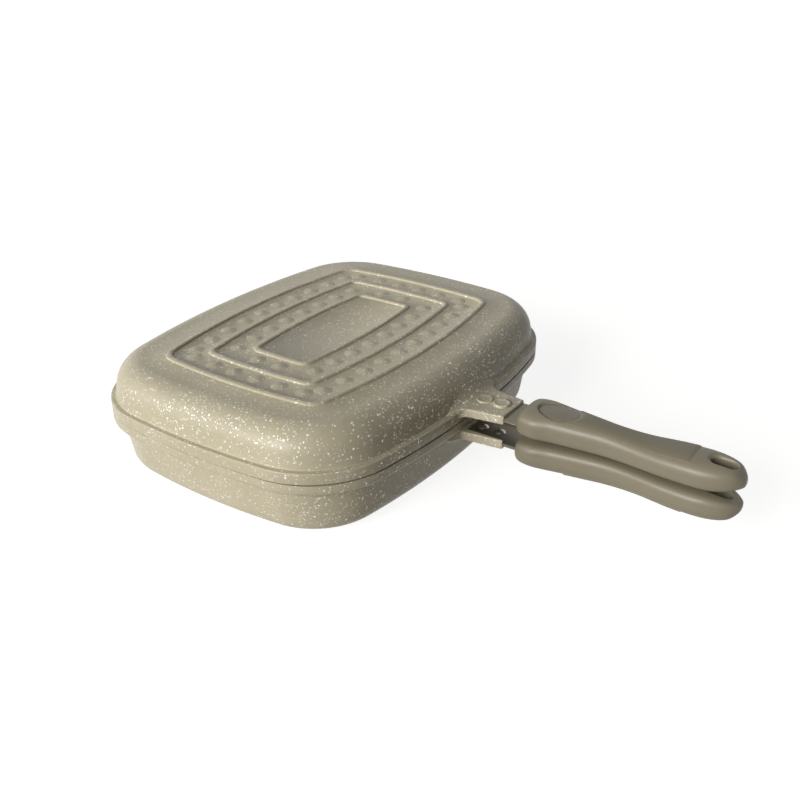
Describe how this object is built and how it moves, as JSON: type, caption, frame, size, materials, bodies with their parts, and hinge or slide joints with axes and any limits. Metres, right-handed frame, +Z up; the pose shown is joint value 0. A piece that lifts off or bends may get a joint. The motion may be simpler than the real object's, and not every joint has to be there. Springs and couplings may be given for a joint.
{
  "type": "double sided flip pan",
  "caption": "Two deep rectangular cast pans hinged along one side, each with its own handle on the other, so the closed pan can be flipped to cook both faces.",
  "frame": {"origin": "under the middle of the pan, on the surface that its base ribs stand on", "axes": "+X towards the handles, +Y along the hinge pin, +Z up"},
  "size_m": [0.46, 0.3216, 0.0844],
  "materials": {
    "pan_coating": "champagne stone-effect coating with pale speckles, satin",
    "gasket": "black silicone, matt",
    "steel": "stainless steel, brushed",
    "grip": "moulded heat-proof plastic, soft satin",
    "inlay": "soft-touch panel, matt",
    "badge": "blank oval plaque, satin",
    "brass": "knurled insert",
    "magnet": "nickel-plated magnet"
  },
  "bodies": {
    "lower_half": {"lower_pan": "pan_coating", "hinge_pin": "steel", "hinge_clip": "steel", "hinge_washers": "steel", "lower_tang": "steel", "lower_tang_screws": "steel", "lower_grip": "grip", "lower_inlay": "inlay", "lower_badge": "badge", "lower_grip_screw": "steel", "lower_grip_insert": "brass", "lower_magnet": "magnet", "lower_magnet_cover": "grip"},
    "upper_half": {"upper_pan": "pan_coating", "rim_gasket": "gasket", "upper_tang": "steel", "upper_tang_screws": "steel", "upper_grip": "grip", "upper_inlay": "inlay", "upper_badge": "badge", "upper_grip_screw": "steel", "upper_grip_insert": "brass", "upper_magnet": "magnet", "upper_magnet_cover": "grip"}
  },
  "joints": [
    {"name": "pan_hinge", "type": "hinge", "parent": "lower_half", "child": "upper_half", "pos_m": [-0.136, 0, 0.048], "axis": [0, -1, 0], "range_deg": [0, 180]}
  ]
}
